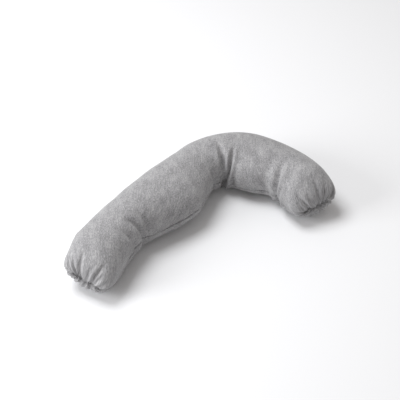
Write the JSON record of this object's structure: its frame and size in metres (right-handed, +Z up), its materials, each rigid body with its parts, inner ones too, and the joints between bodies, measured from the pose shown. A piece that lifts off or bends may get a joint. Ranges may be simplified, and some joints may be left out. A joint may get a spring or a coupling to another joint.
{
  "type": "nursing pillow",
  "caption": "Long curved nursing pillow: a plump tube bent round a waist, in a zipped two-panel jersey cover over a case of light beads.",
  "frame": {"origin": "on the surface the pillow lies on, under the middle of its outline seen from above", "axes": "+Z up; +X from the tip of the long arm towards the tip of the short arm, the longest extent; the hollow between the arms opens towards -Y"},
  "size_m": [0.9483, 0.4844, 0.175],
  "materials": {
    "jersey_melange": "soft brushed cotton jersey in grey melange, fine knit with light and dark flecks",
    "seam_overlock": "overlocked jersey edge, matt thread",
    "label_satin": "woven satin ribbon, blank",
    "zip_tape": "woven polyester tape, twill",
    "zip_nylon": "moulded nylon coil, satin",
    "zip_metal": "die-cast zinc, satin nickel-grey enamel",
    "cotton_case": "plain-woven unbleached cotton",
    "eps_beads": "loose expanded polystyrene beads, matt white"
  },
  "bodies": {
    "long_arm": {"cover_top_panel": "jersey_melange", "cover_bottom_panel": "jersey_melange", "cover_seam_allowance": "seam_overlock", "care_label": "label_satin", "zip_tape_upper": "zip_tape", "zip_tape_lower": "zip_tape", "zip_coil_upper": "zip_nylon", "zip_coil_lower": "zip_nylon", "zip_top_stops": "zip_metal", "zip_bottom_stop": "zip_metal", "inner_case_top": "cotton_case", "inner_case_bottom": "cotton_case", "inner_case_seam": "cotton_case", "bead_fill_left": "eps_beads"},
    "short_arm": {"bead_fill_right": "eps_beads"},
    "slider": {"zip_slider": "zip_metal"},
    "pull": {"zip_pull": "zip_metal"}
  },
  "joints": [
    {"name": "waist_bend", "type": "hinge", "parent": "long_arm", "child": "short_arm", "pos_m": [0.18037, 0.13714, 0.0855], "axis": [0, 0, 1], "range_deg": [-25, 30], "deforming": ["cover_top_panel", "cover_bottom_panel", "cover_seam_allowance", "inner_case_top", "inner_case_bottom", "inner_case_seam"]},
    {"name": "zip_travel", "type": "hinge", "parent": "long_arm", "child": "slider", "pos_m": [1.01565, -2.08297, 0.0855], "axis": [0, 0, 1], "range_deg": [0, 9.28], "deforming": ["zip_coil_upper", "zip_coil_lower"]},
    {"name": "pull_flip", "type": "hinge", "parent": "slider", "child": "pull", "pos_m": [-0.05939, 0.17704, 0.0855], "axis": [0, 0, 1], "range_deg": [-165, 0]}
  ]
}
